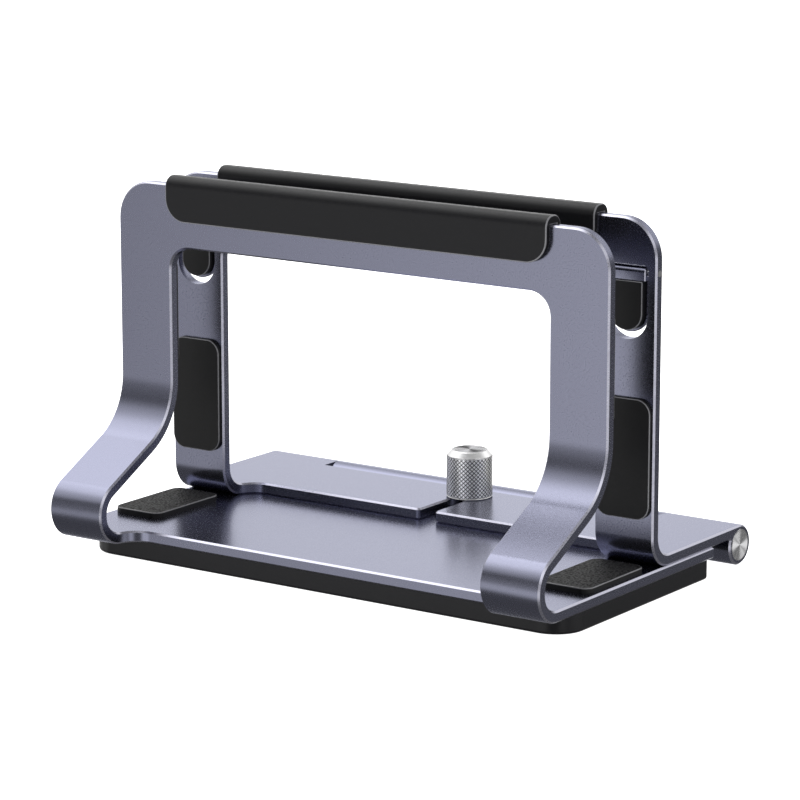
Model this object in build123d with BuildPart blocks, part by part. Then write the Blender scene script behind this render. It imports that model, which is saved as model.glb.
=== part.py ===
from build123d import *
import os
from math import cos, radians, sin, tan

# Vertical laptop stand: two bent aluminium frames, one sliding on the other.
# X runs along the stand, Y from the front to the back, Z up.
# The origin lies on the desk, under the middle of the whole stand.
os.makedirs("parts", exist_ok=True)

# Sizes that both frames share
stand_width = 200.0
stand_height = 128.3
sheet = 4.0
edge_break = 0.6
leg_width = 22.5
beam_height = 22.0
outer_corner = 13.5
window_corner = 8.0
laptop_gap = 25.0

# Front frame, seen from the side
base_depth = 93.0
upright_setback = 23.4
loop_radius = 11.0
loop_setback = 5.7
lean_angle = 27.8
knee_radius = 23.3

# Rear frame, seen from the side
foot_radius = 11.0
plate_lip = 3.8
barrel_overhang = 18.0
barrel_radius = 7.0
barrel_root_rounding = 0.5
knuckle_length = 30.0
notch_gap = 0.4

# Rubber base pad
base_pad_height = 7.0
base_pad_inset = 1.1
base_pad_front_corner = 11.0
base_pad_rear_corner = 2.0
base_pad_bevel = 1.2

# Saddles over the top beams
saddle_length = 155.0
saddle_flap = 12.6
saddle_wall = 2.4
saddle_top = 3.0
saddle_rounding = 3.8
saddle_corner = 8.0

# Pads on the legs and on the base
leg_pad_width = 20.6
leg_pad_height = 40.4
leg_pad_thickness = 1.5
leg_pad_corner = 5.0
rear_pad_low = 28.2
front_pad_gap = 3.0
rest_pad_width = 20.0
rest_pad_length = 36.2
rest_pad_thickness = 2.1
rest_pad_corner = 3.8
rest_pad_setback = 15.3
rest_pad_margin = 1.7

# Hook flaps in the rear legs
hook_window_width = 16.2
hook_window_drop = 15.5
hook_window_height = 24.8
hook_window_corner = 1.5
hook_side_gap = 1.2
hook_finger_gap = 2.1
hook_pin_drop = 2.45
hook_pin_diameter = 2.2
hook_pin_bite = 2.2
hook_rubber_drop = 2.95
hook_rubber_thickness = 2.4
hook_rubber_proud = 0.4
hook_rubber_margin = 0.85

# Thumb screw and its nut
screw_overhang = 0.9
knob_diameter = 16.3
knob_height = 16.9
knob_bevel = 1.85
knob_bevel_height = 2.1
shank_diameter = 5.0
shank_length = 12.4
slot_width = 6.2
slot_mouth_rounding = 1.5
tongue_width = 44.0
tongue_corner = 6.0
nut_spigot_diameter = 7.0
nut_spigot_height = 3.4
nut_body_width = 9.6
nut_body_height = 4.2
nut_clearance = 1.0

# Pin and caps of the rear barrel
barrel_pin_diameter = 6.0
cap_diameter = 11.2
cap_thickness = 1.2

# Ways of the sliding frame, and clearances
travel_in = 3.0
travel_out = 16.0
running_gap = 0.05
press_gap = 0.01
seat_gap = 0.2

# Levels, from the desk up
base_low = base_pad_height
base_top = base_low + sheet
plate_low = base_top
plate_top = plate_low + sheet
barrel_z = plate_top - barrel_radius
window_top = stand_height - beam_height

# Places along Y; the whole depth is centred on the origin
barrel_setback = base_depth + barrel_overhang
front_reach = loop_setback + loop_radius
base_front = (front_reach - barrel_setback - barrel_radius) / 2
base_rear = base_front + base_depth
loop_y = base_front - loop_setback
upright_y = base_front + upright_setback
rear_y = upright_y + sheet + laptop_gap
foot_y = rear_y + foot_radius
plate_front = foot_y + plate_lip
barrel_y = base_front + barrel_setback
screw_y = base_rear + screw_overhang
tongue_end = barrel_y - barrel_radius - travel_in - running_gap - seat_gap
slot_end = screw_y + shank_diameter / 2 + travel_in + seat_gap

# Places along X
leg_x = (stand_width - leg_width) / 2
window_width = stand_width - 2 * leg_width
notch_half = stand_width / 2 - knuckle_length


def cut_window(sill_z, sill_y):
    """Cut the opening between the legs, down to the front edge of the flat plate."""
    window_low = sill_z + sheet / 2
    with BuildSketch(Plane.XZ) as upright_part:
        with Locations((0, (window_top + window_low) / 2)):
            Rectangle(window_width, window_top - window_low)
        fillet(upright_part.vertices().group_by(Axis.Y)[-1], window_corner)
    extrude(upright_part.sketch, amount=stand_width, both=True, mode=Mode.SUBTRACT)
    with BuildSketch(Plane.XY) as foot_part:
        with Locations((0, sill_y - upright_setback)):
            Rectangle(window_width, 2 * upright_setback)
        fillet(foot_part.vertices().group_by(Axis.Y)[-1], window_corner)
    extrude(foot_part.sketch, amount=window_low, mode=Mode.SUBTRACT)


def rim_edges(part):
    """Sharp outer edges of a sheet's outline, without those that cross its thickness."""
    rims = ShapeList()
    for edge in part.edges():
        middle = edge @ 0.5
        normals = [face.normal_at(middle) for face in part.faces() if edge in face.edges()]
        if edge.length > 1.05 * sheet and abs(normals[0].dot(normals[1])) < 0.7:
            if not part.is_inside(middle + (normals[0] + normals[1]) * press_gap):
                rims.append(edge)
    return rims


# Front frame: base plate, two legs that loop forward and lean back, portal
loop_middle = loop_radius - sheet / 2
knee_middle = knee_radius + sheet / 2
lean_sine = sin(radians(lean_angle))
lean_run = upright_y + sheet / 2 - loop_y + loop_middle * lean_sine - knee_middle * (1 - lean_sine)

with BuildPart() as front_frame:
    with BuildSketch(Plane.YZ):
        with BuildLine():
            base_line = Line((base_rear, base_low + sheet / 2), (loop_y, base_low + sheet / 2))
            loop_line = JernArc(base_line @ 1, base_line % 1, loop_middle, lean_angle - 180)
            lean_line = PolarLine(loop_line @ 1, lean_run / cos(radians(lean_angle)), lean_angle)
            knee_line = JernArc(lean_line @ 1, lean_line % 1, knee_middle, 90 - lean_angle)
            Line(knee_line @ 1, (upright_y + sheet / 2, stand_height))
        trace(line_width=sheet)
    extrude(amount=stand_width / 2, both=True)
    corners = front_frame.edges().filter_by(Axis.Y).group_by(Axis.Z)[-1]
    fillet(corners, outer_corner)
    cut_window(base_top, base_front)
    # Tongue that carries the screw
    with BuildSketch(Plane.XY.offset(base_low)) as tongue:
        with Locations((0, (base_rear + tongue_end) / 2 - sheet)):
            Rectangle(tongue_width, tongue_end - base_rear + 2 * sheet)
        fillet(tongue.vertices().group_by(Axis.Y)[-1], tongue_corner)
    extrude(amount=sheet)
    chamfer(rim_edges(front_frame.part), edge_break)
    with BuildSketch(Plane.XY.offset(base_low)):
        with Locations((0, screw_y)):
            Circle(nut_spigot_diameter / 2 + press_gap)
    extrude(amount=sheet, mode=Mode.SUBTRACT)
front_frame.part.label = "front_frame"
export_step(front_frame.part, "parts/front_frame.step")

# Rear frame: portal, foot bend, sliding plate with a screw slot and two knuckles
hook_window_top = stand_height - hook_window_drop
hook_window_z = hook_window_top - hook_window_height / 2
hook_round = hook_window_width / 2
pin_z = hook_window_top - hook_pin_drop
pin_y = rear_y + sheet / 2
pin_inner = leg_x - hook_window_width / 2 - hook_pin_bite

with BuildPart() as rear_frame:
    with BuildSketch(Plane.YZ):
        with BuildLine():
            plate_line = Line((barrel_y, plate_low + sheet / 2), (foot_y, plate_low + sheet / 2))
            foot_line = JernArc(plate_line @ 1, plate_line % 1, foot_radius - sheet / 2, -90)
            Line(foot_line @ 1, (rear_y + sheet / 2, stand_height))
        trace(line_width=sheet)
        with Locations((barrel_y, barrel_z)):
            Circle(barrel_radius)
    extrude(amount=stand_width / 2, both=True)
    plate_edges = rear_frame.edges().filter_by(Axis.X)
    plate_edges = plate_edges.filter_by_position(Axis.Z, plate_low - press_gap, plate_low + press_gap)
    fillet(plate_edges.sort_by(Axis.Y)[-1], barrel_root_rounding)
    with BuildSketch(Plane.XY):
        with Locations((0, barrel_y)):
            Rectangle(2 * notch_half, 2 * (barrel_radius + notch_gap))
    extrude(amount=stand_height / 2, mode=Mode.SUBTRACT)
    corners = rear_frame.edges().filter_by(Axis.Y).group_by(Axis.Z)[-1]
    fillet(corners, outer_corner)
    cut_window(plate_top, plate_front)
    # Slot, open to the front, that slides along the screw
    with BuildSketch(Plane.XY.offset(plate_low)):
        with Locations((0, (plate_front + slot_end - slot_width / 2) / 2)):
            Rectangle(slot_width, slot_end - slot_width / 2 - plate_front)
        with Locations((0, slot_end - slot_width / 2)):
            Circle(slot_width / 2)
    extrude(amount=sheet, mode=Mode.SUBTRACT)
    mouth = rear_frame.edges().filter_by(Axis.Z).filter_by_position(Axis.X, -slot_width, slot_width)
    fillet(mouth.group_by(Axis.Y)[0], slot_mouth_rounding)
    # The walls of the notch stay sharp
    rims = rim_edges(rear_frame.part)
    rims = rims.filter_by(lambda rim: abs(abs(rim.center().X) - notch_half) > press_gap)
    chamfer(rims, edge_break)
    # Windows of the hook flaps
    with BuildSketch(Plane.XZ.offset(-rear_y)) as hook_windows:
        with Locations((-leg_x, hook_window_z), (leg_x, hook_window_z)):
            Rectangle(hook_window_width, hook_window_height)
        fillet(hook_windows.vertices().group_by(Axis.Y)[-1], hook_window_corner)
        fillet(hook_windows.vertices().group_by(Axis.Y)[0], hook_round - seat_gap)
    extrude(amount=-sheet, mode=Mode.SUBTRACT)
    # Holes of the hook pins and of the barrel pin, and seats of its caps
    for side in (-1, 1):
        with BuildSketch(Plane.YZ.offset(side * stand_width / 2)):
            with Locations((pin_y, pin_z)):
                Circle(hook_pin_diameter / 2 + press_gap)
        extrude(amount=side * (pin_inner - stand_width / 2), mode=Mode.SUBTRACT)
        with BuildSketch(Plane.YZ.offset(side * stand_width / 2)):
            with Locations((barrel_y, barrel_z)):
                Circle(cap_diameter / 2 + press_gap)
        extrude(amount=-side * cap_thickness, mode=Mode.SUBTRACT)
        with BuildSketch(Plane.YZ.offset(side * stand_width / 2)):
            with Locations((barrel_y, barrel_z)):
                Circle(barrel_pin_diameter / 2 + press_gap)
        extrude(amount=-side * knuckle_length, mode=Mode.SUBTRACT)
rear_frame.part.label = "rear_frame"
export_step(rear_frame.part, "parts/rear_frame.step")

# Rubber pad under the base plate, cut away round the nut
with BuildPart() as base_pad:
    with BuildSketch() as pad_outline:
        with Locations((0, (base_front + base_rear) / 2)):
            Rectangle(stand_width - 2 * base_pad_inset, base_depth - 2 * base_pad_inset)
        fillet(pad_outline.vertices().group_by(Axis.Y)[0], base_pad_front_corner)
        fillet(pad_outline.vertices().group_by(Axis.Y)[-1], base_pad_rear_corner)
    extrude(amount=base_pad_height)
    chamfer(base_pad.edges().group_by(Axis.Z)[0], base_pad_bevel)
    with BuildSketch():
        with Locations((0, screw_y)):
            Circle(nut_body_width / 2 + nut_clearance)
    extrude(amount=base_pad_height, mode=Mode.SUBTRACT)
base_pad.part.label = "base_pad"
export_step(base_pad.part, "parts/base_pad.step")


def build_saddle(beam_y):
    """Rubber channel over a top beam whose front face lies at beam_y."""
    middle_y = beam_y + sheet / 2
    with BuildPart() as channel:
        with BuildSketch(Plane.YZ) as section:
            with Locations((middle_y, stand_height + (saddle_top - saddle_flap) / 2)):
                Rectangle(sheet + 2 * saddle_wall, saddle_flap + saddle_top)
            fillet(section.vertices().group_by(Axis.Y)[-1], saddle_rounding)
            with Locations((middle_y, stand_height - saddle_flap / 2)):
                Rectangle(sheet, saddle_flap, mode=Mode.SUBTRACT)
        extrude(amount=saddle_length / 2, both=True)
        fillet(channel.edges().filter_by(Axis.Y).group_by(Axis.Z)[0], saddle_corner)
    return channel.part


# Saddles that keep the laptop off the top beams
front_saddle = build_saddle(upright_y)
front_saddle.label = "front_saddle"
export_step(front_saddle, "parts/front_saddle.step")
rear_saddle = build_saddle(rear_y)
rear_saddle.label = "rear_saddle"
export_step(rear_saddle, "parts/rear_saddle.step")


def build_pad(face_plane, centre, width, height, thickness, corner):
    """Thin pad with rounded corners that stands on face_plane."""
    with BuildPart() as pad:
        with BuildSketch(face_plane):
            with Locations(centre):
                RectangleRounded(width, height, corner)
        extrude(amount=thickness)
    return pad.part


def export_pair(right_part, name):
    """Write a right-hand piece and its mirror image on the left."""
    right_part.label = name + "_right"
    export_step(right_part, "parts/" + name + "_right.step")
    left_part = mirror(right_part, about=Plane.YZ)
    left_part.label = name + "_left"
    export_step(left_part, "parts/" + name + "_left.step")


# Pads on the inner faces of the legs, and pads under the edge of the laptop
rear_pad_centre = (leg_x, rear_pad_low + leg_pad_height / 2)
rear_pad_plane = Plane.XZ.offset(-rear_y)
rear_leg_pad = build_pad(
    rear_pad_plane, rear_pad_centre, leg_pad_width, leg_pad_height, leg_pad_thickness, leg_pad_corner
)
export_pair(rear_leg_pad, "rear_leg_pad")

lean_middle_z = base_low + sheet / 2 + loop_middle * (1 + cos(radians(lean_angle)))
knee_top = lean_middle_z + lean_run * tan(radians(lean_angle)) + knee_middle * cos(radians(lean_angle))
front_pad_low = knee_top + front_pad_gap
front_pad_centre = (front_pad_low + leg_pad_height / 2, leg_x)
front_pad_plane = Plane.ZX.offset(upright_y + sheet)
front_leg_pad = build_pad(
    front_pad_plane, front_pad_centre, leg_pad_height, leg_pad_width, leg_pad_thickness, leg_pad_corner
)
export_pair(front_leg_pad, "front_leg_pad")

rest_pad_x = stand_width / 2 - rest_pad_margin - rest_pad_width / 2
rest_pad_centre = (rest_pad_x, base_front + rest_pad_setback + rest_pad_length / 2)
rest_pad_plane = Plane.XY.offset(base_top)
rest_pad = build_pad(
    rest_pad_plane, rest_pad_centre, rest_pad_width, rest_pad_length, rest_pad_thickness, rest_pad_corner
)
export_pair(rest_pad, "rest_pad")

# Hook flap, hung on its pin in the window of a leg, with a rubber facing
flap_half = hook_window_width / 2 - hook_side_gap
flap_low = hook_window_top - hook_window_height + hook_finger_gap
flap_wall = sheet - hook_rubber_thickness + hook_rubber_proud
flap_step = pin_z - hook_rubber_drop

with BuildPart() as hook_flap:
    with BuildSketch(Plane.YZ.offset(leg_x)):
        with Locations((pin_y, pin_z)):
            Circle(sheet / 2)
        with Locations((pin_y, (pin_z + flap_step) / 2)):
            Rectangle(sheet, pin_z - flap_step)
        with Locations((rear_y + sheet - flap_wall / 2, (pin_z + flap_low) / 2)):
            Rectangle(flap_wall, pin_z - flap_low)
    extrude(amount=flap_half, both=True)
    fillet(hook_flap.edges().filter_by(Axis.Y).group_by(Axis.Z)[0], flap_half - seat_gap)
    with BuildSketch(Plane.YZ.offset(leg_x)):
        with Locations((pin_y, pin_z)):
            Circle(hook_pin_diameter / 2 + running_gap)
    extrude(amount=flap_half, both=True, mode=Mode.SUBTRACT)
export_pair(hook_flap.part, "hook_flap")

rubber_half = flap_half - hook_rubber_margin
rubber_height = flap_step - flap_low - hook_rubber_margin
with BuildPart() as hook_rubber:
    with BuildSketch(Plane.XZ.offset(hook_rubber_proud - rear_y)) as facing:
        with Locations((leg_x, flap_step - rubber_height / 2)):
            Rectangle(2 * rubber_half, rubber_height)
        fillet(facing.vertices().group_by(Axis.Y)[0], rubber_half - seat_gap)
    extrude(amount=-hook_rubber_thickness)
export_pair(hook_rubber.part, "hook_rubber")

with BuildPart() as hook_pin:
    with BuildSketch(Plane.YZ.offset(pin_inner)):
        with Locations((pin_y, pin_z)):
            Circle(hook_pin_diameter / 2)
    extrude(amount=stand_width / 2 - pin_inner)
export_pair(hook_pin.part, "hook_pin")

# Thumb screw: knob that presses on the sliding plate, and its shank
screw_axis = Axis((0, screw_y, 0), (0, 0, 1))
knob_top = plate_top + knob_height
shank_end = plate_top - shank_length
with BuildPart() as thumb_screw:
    with BuildSketch(Plane.XZ.offset(-screw_y)):
        with BuildLine():
            Polyline(
                (0, knob_top),
                (knob_diameter / 2 - knob_bevel, knob_top),
                (knob_diameter / 2, knob_top - knob_bevel_height),
                (knob_diameter / 2, plate_top),
                (shank_diameter / 2, plate_top),
                (shank_diameter / 2, shank_end),
                (0, shank_end),
                close=True,
            )
        make_face()
    revolve(axis=screw_axis)
thumb_screw.part.label = "thumb_screw"
export_step(thumb_screw.part, "parts/thumb_screw.step")

# Hexagonal nut pressed into the tongue of the base plate from below
with BuildPart() as clinch_nut:
    with BuildSketch(Plane.XY.offset(base_low)):
        with Locations((0, screw_y)):
            RegularPolygon(nut_body_width / 2, 6)
    extrude(amount=-nut_body_height)
    with BuildSketch(Plane.XY.offset(base_low)):
        with Locations((0, screw_y)):
            Circle(nut_spigot_diameter / 2)
    extrude(amount=nut_spigot_height)
    with BuildSketch(Plane.XY):
        with Locations((0, screw_y)):
            Circle(shank_diameter / 2 + running_gap)
    extrude(amount=base_top, mode=Mode.SUBTRACT)
clinch_nut.part.label = "clinch_nut"
export_step(clinch_nut.part, "parts/clinch_nut.step")

# Sleeve that turns between the knuckles, on a pin that two caps close off
with BuildPart() as barrel_sleeve:
    with BuildSketch(Plane.YZ):
        with Locations((barrel_y, barrel_z)):
            Circle(barrel_radius)
            Circle(barrel_pin_diameter / 2 + running_gap, mode=Mode.SUBTRACT)
    extrude(amount=notch_half - seat_gap, both=True)
barrel_sleeve.part.label = "barrel_sleeve"
export_step(barrel_sleeve.part, "parts/barrel_sleeve.step")

with BuildPart() as barrel_pin:
    with BuildSketch(Plane.YZ):
        with Locations((barrel_y, barrel_z)):
            Circle(barrel_pin_diameter / 2)
    extrude(amount=stand_width / 2 - cap_thickness, both=True)
barrel_pin.part.label = "barrel_pin"
export_step(barrel_pin.part, "parts/barrel_pin.step")

with BuildPart() as barrel_cap:
    with BuildSketch(Plane.YZ.offset(stand_width / 2 - cap_thickness)):
        with Locations((barrel_y, barrel_z)):
            Circle(cap_diameter / 2)
    extrude(amount=cap_thickness)
export_pair(barrel_cap.part, "barrel_cap")
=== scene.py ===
from math import asin, atan2, cos, pi, radians, sin, tan

import bmesh
import bpy
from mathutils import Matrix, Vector


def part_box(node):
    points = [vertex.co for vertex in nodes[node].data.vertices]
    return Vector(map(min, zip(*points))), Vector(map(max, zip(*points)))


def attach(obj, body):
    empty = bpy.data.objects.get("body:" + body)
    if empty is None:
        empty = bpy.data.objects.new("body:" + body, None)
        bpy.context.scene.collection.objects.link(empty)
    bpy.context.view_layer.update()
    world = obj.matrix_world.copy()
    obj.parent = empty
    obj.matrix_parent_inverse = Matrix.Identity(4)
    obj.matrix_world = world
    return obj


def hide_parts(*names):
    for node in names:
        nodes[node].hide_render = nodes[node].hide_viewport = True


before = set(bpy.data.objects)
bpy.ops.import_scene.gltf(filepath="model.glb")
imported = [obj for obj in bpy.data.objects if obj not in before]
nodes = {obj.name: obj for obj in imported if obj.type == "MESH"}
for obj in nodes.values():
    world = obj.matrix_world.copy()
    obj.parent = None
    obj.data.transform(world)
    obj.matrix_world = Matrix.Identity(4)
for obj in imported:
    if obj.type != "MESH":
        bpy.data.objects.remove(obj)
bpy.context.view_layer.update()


# Frames: two sheets of 4 mm aluminium, cut out and bent, then bead blasted and anodised space grey.
# Their rims are chamfered, and each chamfer is given a lighter copy of the anodised metal, a
# painted highlight that makes a thin bright line along every edge.
def new_finish(name, color, metallic, roughness):
    """A Principled material, with its tree and shader for the detail that follows."""
    material = bpy.data.materials.new(name)
    material.use_nodes = True
    tree = material.node_tree
    shader = tree.nodes["Principled BSDF"]
    shader.inputs["Base Color"].default_value = (*color, 1)
    shader.inputs["Metallic"].default_value = metallic
    shader.inputs["Roughness"].default_value = roughness
    return material, tree, shader


def add_noise(tree, repeats_per_metre, detail):
    """Even noise that sits still on the piece."""
    place = tree.nodes.new("ShaderNodeTexCoord")
    noise = tree.nodes.new("ShaderNodeTexNoise")
    noise.inputs["Scale"].default_value = repeats_per_metre
    noise.inputs["Detail"].default_value = detail
    tree.links.new(place.outputs["Object"], noise.inputs["Vector"])
    return noise.outputs["Fac"]


def vary(tree, pattern, socket, low, high):
    """Let a pattern move a shader's socket between two values."""
    spread = tree.nodes.new("ShaderNodeMapRange")
    spread.inputs["From Min"].default_value = 0.3
    spread.inputs["From Max"].default_value = 0.7
    spread.inputs["To Min"].default_value = low
    spread.inputs["To Max"].default_value = high
    tree.links.new(pattern, spread.inputs["Value"])
    tree.links.new(spread.outputs["Result"], socket)


def add_relief(tree, shader, pattern, strength, height):
    """Fine relief from a pattern, its height in metres."""
    bump = tree.nodes.new("ShaderNodeBump")
    bump.inputs["Strength"].default_value = strength
    bump.inputs["Distance"].default_value = height
    tree.links.new(pattern, bump.inputs["Height"])
    tree.links.new(bump.outputs["Normal"], shader.inputs["Normal"])


anodised, tree, shader = new_finish("anodised_aluminium", (0.19, 0.195, 0.255), 1.0, 0.25)
shader.inputs["Specular Tint"].default_value = (0.92, 0.93, 1, 1)
blasting = add_noise(tree, 2600, 3)
vary(tree, blasting, shader.inputs["Roughness"], 0.21, 0.29)
add_relief(tree, shader, blasting, 0.12, 0.00003)

# A lighter copy of the anodised metal for the chamfers and edge breaks: painted highlight.
painted_highlight_metal, tree, shader = new_finish("painted_highlight_chamfer", (0.45, 0.45, 0.53), 1.0, 0.28)
vary(tree, add_noise(tree, 1800, 2), shader.inputs["Roughness"], 0.24, 0.36)


def add_piece(shape, name, materials, body, slot, *replaced):
    """Make a finished bmesh a piece that rides on a body, in the place of CAD nodes."""
    mesh = bpy.data.meshes.new(name)
    shape.to_mesh(mesh)
    shape.free()
    if "custom_normal" in mesh.attributes:
        mesh.attributes.remove(mesh.attributes["custom_normal"])
    for material in materials:
        mesh.materials.append(material)
    piece = bpy.data.objects.new(name, mesh)
    bpy.context.scene.collection.objects.link(piece)
    normals = piece.modifiers.new("weighted_normals", "WEIGHTED_NORMAL")
    normals.keep_sharp = True
    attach(piece, body)
    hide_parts(*replaced)


def shade(shape, crease):
    """Smooth shading that breaks at edges which turn by more than crease degrees."""
    bmesh.ops.recalc_face_normals(shape, faces=shape.faces)
    for face in shape.faces:
        face.smooth = True
    for edge in shape.edges:
        edge.smooth = edge.calc_face_angle(pi) < radians(crease)


def merged_copy(node):
    """The node's own form as one closed bmesh, with its flat faces whole."""
    shape = bmesh.new()
    shape.from_mesh(nodes[node].data)
    bmesh.ops.remove_doubles(shape, verts=shape.verts, dist=1e-6)
    bmesh.ops.dissolve_limit(shape, angle_limit=radians(0.5), verts=shape.verts, edges=shape.edges)
    for face in shape.faces:
        face.material_index = 0
    return shape


widest_rim = 0.00105


def paint_rim_highlights(shape):
    """Give the second material, the painted highlight, to each smooth band that is as narrow as a
    chamfer.
    """
    waiting = set(shape.faces)
    while waiting:
        band = [waiting.pop()]
        rim_length = 0
        for face in band:
            for edge in face.edges:
                if not edge.smooth:
                    rim_length += edge.calc_length()
                for neighbour in edge.link_faces if edge.smooth else []:
                    if neighbour in waiting:
                        waiting.remove(neighbour)
                        band.append(neighbour)
        if sum(face.calc_area() for face in band) < widest_rim * rim_length / 2:
            for face in band:
                face.material_index = 1


for node, body in (("front_frame", "base"), ("rear_frame", "sliding_frame")):
    shape = merged_copy(node)
    shade(shape, 30)
    # The chamfer bands get the lighter metal, a painted highlight.
    paint_rim_highlights(shape)
    add_piece(shape, node + "_sheet", [anodised, painted_highlight_metal], body, "anodised_aluminium", node)


# Base pad: a thick moulded slab of black rubber, glued under the base plate. Its front
# corners are wide, its lower rim is rounded, and a notch at the back clears the nut.
rubber, tree, shader = new_finish("base_rubber", (0.005, 0.005, 0.006), 0.0, 0.4)
shader.inputs["Specular IOR Level"].default_value = 0.22
skin = add_noise(tree, 1500, 3)
vary(tree, skin, shader.inputs["Roughness"], 0.28, 0.36)
add_relief(tree, shader, skin, 0.3, 0.00004)


def corners(node):
    """The node's lowest and highest corners at rest."""
    return [Vector(corner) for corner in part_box(node)]


def break_edges(shape, edges, width, segments, material=-1):
    """Round edges, or chamfer them with one segment, in the finish beside them or another."""
    bmesh.ops.bevel(
        shape, geom=edges, offset=width, segments=segments, profile=0.5, affect="EDGES",
        material=material,
    )


pad_low, pad_high = corners("base_pad")
screw_low, screw_high = corners("thumb_screw")
screw_y = (screw_low.y + screw_high.y) / 2
notch_radius = 0.0058
front_corner, rear_corner = 0.011, 0.002
lower_rim, upper_rim = 0.0011, 0.0003

notch_turn = pi - 2 * asin((screw_y - pad_high.y) / notch_radius)
notch_reach = notch_radius * sin(notch_turn / 2)
shape = bmesh.new()
first = shape.verts.new((-notch_reach, pad_high.y, pad_low.z))
turned = bmesh.ops.spin(
    shape, geom=[first], cent=(0, screw_y, pad_low.z), axis=(0, 0, 1), angle=notch_turn, steps=20
)
last = [item for item in turned["geom_last"] if isinstance(item, bmesh.types.BMVert)][0]
rear_right = shape.verts.new((pad_high.x, pad_high.y, pad_low.z))
front_right = shape.verts.new((pad_high.x, pad_low.y, pad_low.z))
front_left = shape.verts.new((pad_low.x, pad_low.y, pad_low.z))
rear_left = shape.verts.new((pad_low.x, pad_high.y, pad_low.z))
chain = [last, rear_right, front_right, front_left, rear_left, first]
for start, end in zip(chain, chain[1:]):
    shape.edges.new((start, end))
bmesh.ops.edgeloop_fill(shape, edges=shape.edges)
for corner_pair, radius in (
    ([front_left, front_right], front_corner),
    ([rear_left, rear_right], rear_corner),
):
    bmesh.ops.bevel(
        shape, geom=corner_pair, offset=radius, segments=12, profile=0.5, affect="VERTICES",
        material=-1,
    )
grown = bmesh.ops.extrude_face_region(shape, geom=shape.faces[:])
upper = [item for item in grown["geom"] if isinstance(item, bmesh.types.BMVert)]
bmesh.ops.translate(shape, verts=upper, vec=(0, 0, pad_high.z - pad_low.z))
for level, width in ((pad_low.z, lower_rim), (pad_high.z, upper_rim)):
    rim = [
        edge for edge in shape.edges
        if all(abs(vert.co.z - level) < 1e-6 for vert in edge.verts)
    ]
    break_edges(shape, rim, width, 4)
shade(shape, 40)
add_piece(shape, "base_pad_slab", [rubber], "base", "base_rubber", "base_pad")


# Rest pads and leg pads: moulded rubber pads, stuck on where the laptop touches, whose rounded rims
# are painted a lighter grey, a painted highlight. The rest pads have a pebbled face, the leg pads a
# plain satin one.
def new_slab(low, high):
    """Square slab between two corners."""
    shape = bmesh.new()
    bmesh.ops.create_cube(shape, size=1)
    bmesh.ops.scale(shape, vec=high - low, verts=shape.verts)
    bmesh.ops.translate(shape, vec=(high + low) / 2, verts=shape.verts)
    return shape


def mould_pad(low, high, thin_axis, outer_side, corner, rim):
    """Slab with rounded corners between two points, with its outer face's rim rounded and given the
    second material, a painted highlight.
    """
    shape = new_slab(low, high)
    upright = [
        edge for edge in shape.edges
        if abs(edge.verts[0].co[thin_axis] - edge.verts[1].co[thin_axis]) > 1e-5
    ]
    break_edges(shape, upright, corner, 12)
    bmesh.ops.recalc_face_normals(shape, faces=shape.faces)
    outer_face = max(shape.faces, key=lambda face: outer_side * face.normal[thin_axis])
    break_edges(shape, outer_face.edges[:], rim, 3, material=1)
    shade(shape, 40)
    return shape


# Light grey rubber for the rounded rims of pads, saddles and facings: a painted highlight.
painted_highlight_rubber, tree, shader = new_finish("painted_highlight_pad_rim", (0.14, 0.14, 0.15), 0.0, 0.3)
vary(tree, add_noise(tree, 1500, 2), shader.inputs["Roughness"], 0.25, 0.36)

satin, tree, shader = new_finish("satin_pad", (0.006, 0.006, 0.0065), 0.0, 0.42)
shader.inputs["Specular IOR Level"].default_value = 0.22
skin = add_noise(tree, 2200, 2)
vary(tree, skin, shader.inputs["Roughness"], 0.36, 0.5)
add_relief(tree, shader, skin, 0.35, 0.00004)

leg_pad_corner, leg_pad_rim = 0.005, 0.0003
for node, body, outer_side in (
    ("front_leg_pad_left", "base", 1),
    ("front_leg_pad_right", "base", 1),
    ("rear_leg_pad_left", "sliding_frame", -1),
    ("rear_leg_pad_right", "sliding_frame", -1),
):
    low, high = corners(node)
    shape = mould_pad(low, high, 1, outer_side, leg_pad_corner, leg_pad_rim)
    add_piece(shape, node + "_moulded", [satin, painted_highlight_rubber], body, "pad_rubber", node)

pebbled, tree, shader = new_finish("pebbled_pad", (0.012, 0.012, 0.012), 0.0, 0.6)
place = tree.nodes.new("ShaderNodeTexCoord")
pebbles = tree.nodes.new("ShaderNodeTexVoronoi")
pebbles.inputs["Scale"].default_value = 1250
tree.links.new(place.outputs["Object"], pebbles.inputs["Vector"])
vary(tree, pebbles.outputs["Distance"], shader.inputs["Specular IOR Level"], 0.4, 0.03)
add_relief(tree, shader, pebbles.outputs["Distance"], 1.0, 0.0003)

rest_pad_corner, rest_pad_rim = 0.0038, 0.00035
for node in ("rest_pad_left", "rest_pad_right"):
    low, high = corners(node)
    shape = mould_pad(low, high, 2, 1, rest_pad_corner, rest_pad_rim)
    top_face = max(shape.faces, key=lambda face: face.calc_area() * face.normal.z)
    top_face.material_index = 2
    add_piece(shape, node + "_moulded", [satin, painted_highlight_rubber, pebbled], "base", "pad_rubber", node)


# Saddles: extruded channels of black silicone, pushed down over the two top beams. Their
# tops are round, the lower corners of their flaps are cut to a wide arc.
silicone, tree, shader = new_finish("saddle_silicone", (0.005, 0.005, 0.006), 0.0, 0.36)
shader.inputs["Specular IOR Level"].default_value = 0.2
skin = add_noise(tree, 1200, 2)
vary(tree, skin, shader.inputs["Roughness"], 0.3, 0.42)
add_relief(tree, shader, skin, 0.25, 0.00003)

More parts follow.
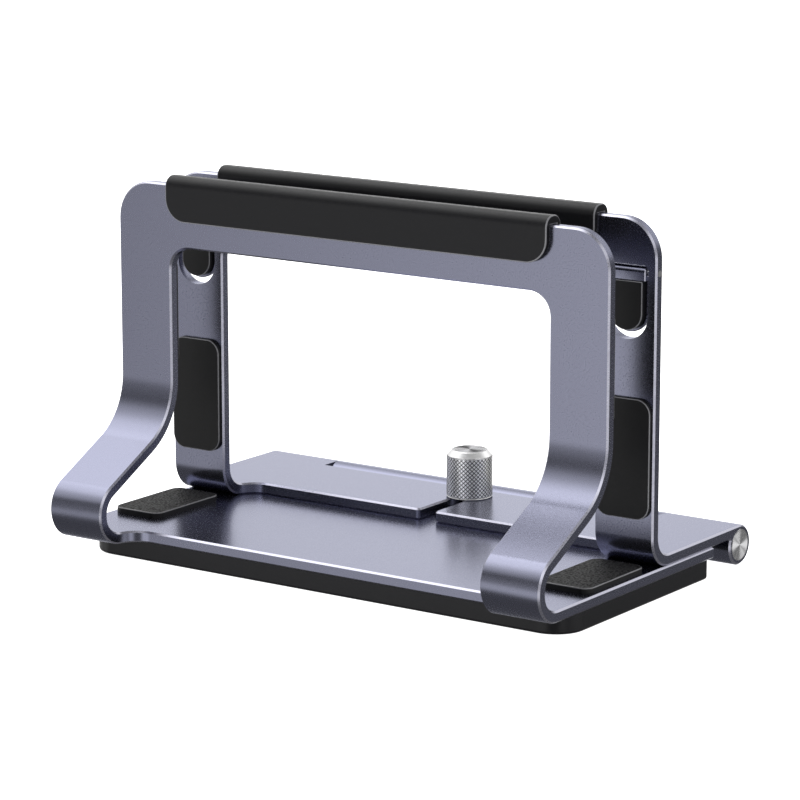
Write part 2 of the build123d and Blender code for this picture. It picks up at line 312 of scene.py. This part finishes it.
flap_wall, flap_height = 0.0024, 0.0126
top_rounding, flap_corner, end_rounding = 0.0038, 0.008, 0.0004
for node, body in (("front_saddle", "base"), ("rear_saddle", "sliding_frame")):
    low, high = corners(node)
    slot_front, slot_rear = low.y + flap_wall, high.y - flap_wall
    slot_top = low.z + flap_height
    shape = bmesh.new()
    outline = [
        shape.verts.new((low.x, y, z))
        for y, z in (
            (low.y, low.z), (low.y, high.z), (high.y, high.z), (high.y, low.z),
            (slot_rear, low.z), (slot_rear, slot_top), (slot_front, slot_top), (slot_front, low.z),
        )
    ]
    shape.faces.new(outline)
    bmesh.ops.bevel(
        shape, geom=outline[1:3], offset=top_rounding, segments=12, profile=0.5, affect="VERTICES",
        material=-1,
    )
    grown = bmesh.ops.extrude_face_region(shape, geom=shape.faces[:])
    far_end = [item for item in grown["geom"] if isinstance(item, bmesh.types.BMVert)]
    bmesh.ops.translate(shape, verts=far_end, vec=(high.x - low.x, 0, 0))
    bmesh.ops.recalc_face_normals(shape, faces=shape.faces)
    flap_ends = [
        edge for edge in shape.edges
        if all(abs(vert.co.z - low.z) < 1e-6 for vert in edge.verts)
        and abs(edge.verts[0].co.y - edge.verts[1].co.y) > 1e-5
    ]
    break_edges(shape, flap_ends, flap_corner, 12)
    # The rounded end rims get the light grey rubber, a painted highlight.
    rims = [edge for edge in shape.edges if edge.calc_face_angle_signed(0) > radians(40)]
    break_edges(shape, rims, end_rounding, 2, material=1)
    shade(shape, 50)
    add_piece(shape, node + "_channel", [silicone, painted_highlight_rubber], body, "saddle_silicone", node)


# Hook flaps: small aluminium flaps that swing out of the rear legs, anodised and broken
# at the edges like the frames, with a rubber facing glued to the front of each.
flap_break = 0.0003
facing_arc, facing_rim = 0.0058, 0.0003
for side in ("left", "right"):
    shape = merged_copy("hook_flap_" + side)
    rims = [edge for edge in shape.edges if edge.calc_face_angle_signed(0) > radians(60)]
    # The broken edges get the lighter metal of the frames' chamfers, a painted highlight.
    break_edges(shape, rims, flap_break, 1, material=1)
    shade(shape, 30)
    add_piece(
        shape, "hook_flap_" + side + "_plate", [anodised, painted_highlight_metal], side + "_hook",
        "anodised_aluminium", "hook_flap_" + side,
    )

    low, high = corners("hook_rubber_" + side)
    shape = new_slab(low, high)
    lower_corners = [
        edge for edge in shape.edges
        if all(vert.co.z < low.z + 1e-6 for vert in edge.verts)
        and abs(edge.verts[0].co.y - edge.verts[1].co.y) > 1e-5
    ]
    break_edges(shape, lower_corners, facing_arc, 12)
    front_face = min(shape.faces, key=lambda face: face.normal.y)
    # The rounded front rim gets the light grey rubber, a painted highlight.
    break_edges(shape, front_face.edges[:], facing_rim, 2, material=1)
    shade(shape, 50)
    add_piece(
        shape, "hook_rubber_" + side + "_facing", [satin, painted_highlight_rubber], side + "_hook", "pad_rubber",
        "hook_rubber_" + side,
    )


# Thumb screw: a steel knob with a diamond knurl, a turned top and a smooth shoulder, on
# an M5 shank that goes down through the slot into the nut.
def lathe(shape, outline, foot, axis, steps):
    """Spin an outline of (radius, height) points about the axis that stands on foot."""
    side = axis.orthogonal().normalized()
    verts = [shape.verts.new(foot + side * radius + axis * height) for radius, height in outline]
    edges = [shape.edges.new(pair) for pair in zip(verts, verts[1:])]
    bmesh.ops.spin(
        shape, geom=verts + edges, cent=foot, axis=axis, angle=2 * pi, steps=steps, use_merge=True
    )
    bmesh.ops.remove_doubles(shape, verts=shape.verts, dist=1e-6)


knurled, tree, shader = new_finish("knurled_steel", (0.9, 0.9, 0.9), 0.85, 0.32)
vary(tree, add_noise(tree, 1500, 2), shader.inputs["Roughness"], 0.3, 0.35)

turned_top, tree, shader = new_finish("turned_top_steel", (0.3, 0.3, 0.31), 1.0, 0.2)
vary(tree, add_noise(tree, 3000, 2), shader.inputs["Roughness"], 0.15, 0.26)

# Dark steel for the walls of the knurl's grooves: painted shade in the grooves.
painted_shade_groove_steel, tree, shader = new_finish("painted_shade_groove_steel", (0.06, 0.06, 0.065), 1.0, 0.5)
vary(tree, add_noise(tree, 1500, 2), shader.inputs["Roughness"], 0.44, 0.56)

knob_radius = (screw_high.x - screw_low.x) / 2
knob_height, shoulder_width, shoulder_height = 0.0169, 0.00185, 0.0021
knurl_columns, knurl_rows = 34, 10
knurl_low, knurl_high = 0.0004, 0.0149
groove_depth, groove_half = 0.0002, 0.00017
shoulder_rounding, rounding_steps = 0.0008, 6
ring_count, ring_depth, steepest_ring = 11, 0.0001, radians(25)
shank_radius, shank_end_break, knob_foot_break = 0.0025, 0.0004, 0.0002

knob_foot = Vector((0, screw_y, screw_high.z - knob_height))
upward = Vector((0, 0, 1))
groove_radius = knob_radius - groove_depth
band_radius = knob_radius - groove_depth / 3
top_radius = knob_radius - shoulder_width

shape = bmesh.new()
row_height = (knurl_high - knurl_low) / knurl_rows
wall = [(groove_radius, knurl_low + row * row_height) for row in range(knurl_rows + 1)]
lathe(shape, wall, knob_foot, upward, knurl_columns)
squares = [edge for edge in shape.edges if not edge.is_boundary]
bmesh.ops.poke(shape, faces=shape.faces)
bmesh.ops.dissolve_edges(shape, edges=squares, use_verts=False)
ends = [edge for edge in shape.edges if edge.is_boundary]
bmesh.ops.subdivide_edges(shape, edges=ends, cuts=1)
for vert in shape.verts:
    outward = Vector((vert.co.x, vert.co.y - screw_y, 0)).normalized()
    vert.co = knob_foot + outward * groove_radius + upward * (vert.co.z - knob_foot.z)
diamonds = shape.faces[:]

face_radius = top_radius - shoulder_rounding / 2
top = [(0, knob_height - ring_depth)]
for ring in range(ring_count):
    top.append((face_radius * (ring + 0.5) / ring_count, knob_height))
    if ring < ring_count - 1:
        top.append((face_radius * (ring + 1) / ring_count, knob_height - ring_depth))
shoulder_slope = atan2(shoulder_height, band_radius - top_radius)
upper_inset = shoulder_rounding * tan(shoulder_slope / 2)
lower_inset = shoulder_rounding * tan((pi / 2 - shoulder_slope) / 2)
for step in range(rounding_steps + 1):
    turn = shoulder_slope * step / rounding_steps
    top.append((
        top_radius - upper_inset + shoulder_rounding * sin(turn),
        knob_height - shoulder_rounding * (1 - cos(turn)),
    ))
for step in range(rounding_steps + 1):
    turn = shoulder_slope + (pi / 2 - shoulder_slope) * step / rounding_steps
    top.append((
        band_radius - shoulder_rounding * (1 - sin(turn)),
        knob_height - shoulder_height - lower_inset + shoulder_rounding * cos(turn),
    ))
top.append((groove_radius, knurl_high))
lathe(shape, top, knob_foot, upward, 2 * knurl_columns)
shank_end = screw_low.z - knob_foot.z
shank = [
    (groove_radius, knurl_low), (band_radius, knurl_low - knob_foot_break),
    (band_radius - knob_foot_break, 0), (shank_radius, 0),
    (shank_radius, shank_end + shank_end_break), (shank_radius - shank_end_break, shank_end),
    (0, shank_end),
]
lathe(shape, shank, knob_foot, upward, 2 * knurl_columns)
bmesh.ops.recalc_face_normals(shape, faces=shape.faces)
grooves = bmesh.ops.inset_individual(
    shape, faces=diamonds, thickness=groove_half, depth=groove_depth
)
# The groove walls get the dark steel, painted shade.
for face in grooves["faces"]:
    face.material_index = 1
for face in shape.faces:
    if face.normal.z > cos(steepest_ring):
        face.material_index = 2
shade(shape, 9)
add_piece(
    shape, "thumb_screw_knurled", [knurled, painted_shade_groove_steel, turned_top], "clamp_screw",
    "knurled_steel", "thumb_screw",
)


# Barrel: a round sleeve that turns between the two knuckles of the sliding plate, on a
# steel pin. Two steel discs with a turned face close the ends of the knuckles.
nodes["barrel_sleeve"].data.materials.clear()
nodes["barrel_sleeve"].data.materials.append(anodised)

steel, tree, shader = new_finish("turned_steel", (0.7, 0.7, 0.71), 1.0, 0.18)
vary(tree, add_noise(tree, 3000, 2), shader.inputs["Roughness"], 0.14, 0.23)

cap_rings, cap_ring_depth, cap_edge, cap_steps = 11, 0.00011, 0.00015, 72
for side, outward in (("left", Vector((-1, 0, 0))), ("right", Vector((1, 0, 0)))):
    low, high = corners("barrel_cap_" + side)
    middle = (low + high) / 2
    radius, thickness = (high.y - low.y) / 2, high.x - low.x
    foot = middle - outward * thickness / 2
    face_radius = radius - cap_edge
    outline = [(0, thickness - cap_ring_depth)]
    for ring in range(cap_rings):
        outline.append((face_radius * (ring + 0.5) / cap_rings, thickness))
        if ring < cap_rings - 1:
            outline.append((face_radius * (ring + 1) / cap_rings, thickness - cap_ring_depth))
    outline += [(face_radius, thickness), (radius, thickness - cap_edge), (radius, 0), (0, 0)]
    shape = bmesh.new()
    lathe(shape, outline, foot, outward, cap_steps)
    shade(shape, 6)
    add_piece(
        shape, "barrel_cap_" + side + "_turned", [steel], "sliding_frame", "turned_steel",
        "barrel_cap_" + side,
    )


# Pins and nut: the hook pins show as dots in the edges of the rear legs. The long pin of
# the barrel and the nut, pressed into the base plate from below, are plain steel.
for node in ("clinch_nut", "barrel_pin", "hook_pin_left", "hook_pin_right"):
    nodes[node].data.materials.clear()
    nodes[node].data.materials.append(steel)


# Floor: a wide lit sheet of pale paper, which stays white beside the dark rubber and is
# left out of the gloss.
paper, tree, shader = new_finish("pale_paper", (0.9, 0.9, 0.9), 0.0, 0.8)
shader.inputs["Emission Color"].default_value = (1, 1, 1, 1)
shader.inputs["Emission Strength"].default_value = 1
shape = bmesh.new()
bmesh.ops.create_grid(shape, x_segments=1, y_segments=1, size=6)
floor_mesh = bpy.data.meshes.new("floor")
shape.to_mesh(floor_mesh)
shape.free()
floor_mesh.materials.append(paper)
floor = bpy.data.objects.new("floor", floor_mesh)
floor.visible_glossy = False
bpy.context.scene.collection.objects.link(floor)


# Light: a dim even room with soft boxes. A row holds the bearing and the rise of a box's
# middle, how far off that it begins and is full, all in degrees, and its strength.
world = bpy.data.worlds.new("studio")
bpy.context.scene.world = world
world.use_nodes = True
tree = world.node_tree
place = tree.nodes.new("ShaderNodeTexCoord")
room_level = 0.2
level = None
for bearing, rise, begins, full, strength in (
    (-170, 62, 30, 8, 1.5),
    (-152, -10, 14, 3, 1.8),
    (-150, 6, 16, 2, 1.12),
    (-150, 45, 28, 6, 1.24),
    (-120, -12, 16, 2, 1.15),
    (-120, 6, 16, 2, 0.14),
    (-106, -12, 16, 2, 1),
    (-106, 6, 16, 2, 1),
    (-106, 24, 16, 2, 0.13),
    (-92, -12, 14, 2, 1.3),
    (-92, 6, 16, 2, 1.4),
    (-92, 24, 16, 2, 0.72),
    (-75, 28, 30, 8, 1),
    (-35, 32, 26, 6, 0.9),
    (-34, -12, 16, 4, 1),
    (-22, -10, 22, 5, 0.38),
    (0, 30, 28, 8, 1.4),
    (8, -8, 22, 5, 0.8),
    (34, -10, 22, 5, 0.45),
    (40, 20, 24, 6, 0.6),
    (70, 34, 30, 8, 1.1),
    (105, -12, 30, 8, 0.8),
    (112, 20, 26, 6, 0.62),
    (134, 4, 26, 6, 0.27),
    (134, 20, 26, 6, 0.62),
    (140, -14, 26, 6, 0.7),
    (150, 75, 34, 8, 0.91),
    (152, 48, 24, 6, 1.6),
    (178, 20, 26, 8, 0.9),
    (180, -5, 28, 8, 0.52),
):
    middle = Vector((
        cos(radians(bearing)) * cos(radians(rise)), sin(radians(bearing)) * cos(radians(rise)),
        sin(radians(rise)),
    ))
    toward = tree.nodes.new("ShaderNodeVectorMath")
    toward.operation = "DOT_PRODUCT"
    toward.inputs[1].default_value = middle
    tree.links.new(place.outputs["Generated"], toward.inputs[0])
    glow = tree.nodes.new("ShaderNodeMapRange")
    glow.interpolation_type = "SMOOTHSTEP"
    glow.inputs["From Min"].default_value = cos(radians(begins))
    glow.inputs["From Max"].default_value = cos(radians(full))
    glow.inputs["To Max"].default_value = strength
    tree.links.new(toward.outputs["Value"], glow.inputs["Value"])
    total = tree.nodes.new("ShaderNodeMath")
    if level:
        tree.links.new(level, total.inputs[0])
    else:
        total.inputs[0].default_value = room_level
    tree.links.new(glow.outputs["Result"], total.inputs[1])
    level = total.outputs["Value"]
tree.links.new(level, tree.nodes["Background"].inputs["Strength"])
tree.nodes["Background"].inputs["Color"].default_value = (1, 1, 1, 1)


# Camera: the photograph's viewpoint, worked out from the edges of the object, with plain
# studio colour, in which white stays white.
camera_data = bpy.data.cameras.new("camera")
camera_data.sensor_width = 36
camera_data.lens = 158.6
camera = bpy.data.objects.new("camera", camera_data)
camera.location = (0.673143, -0.96645, 0.308283)
camera.rotation_euler = (radians(77.959), 0, radians(34.852))
bpy.context.scene.collection.objects.link(camera)
bpy.context.scene.camera = camera
bpy.context.scene.view_settings.view_transform = "Standard"
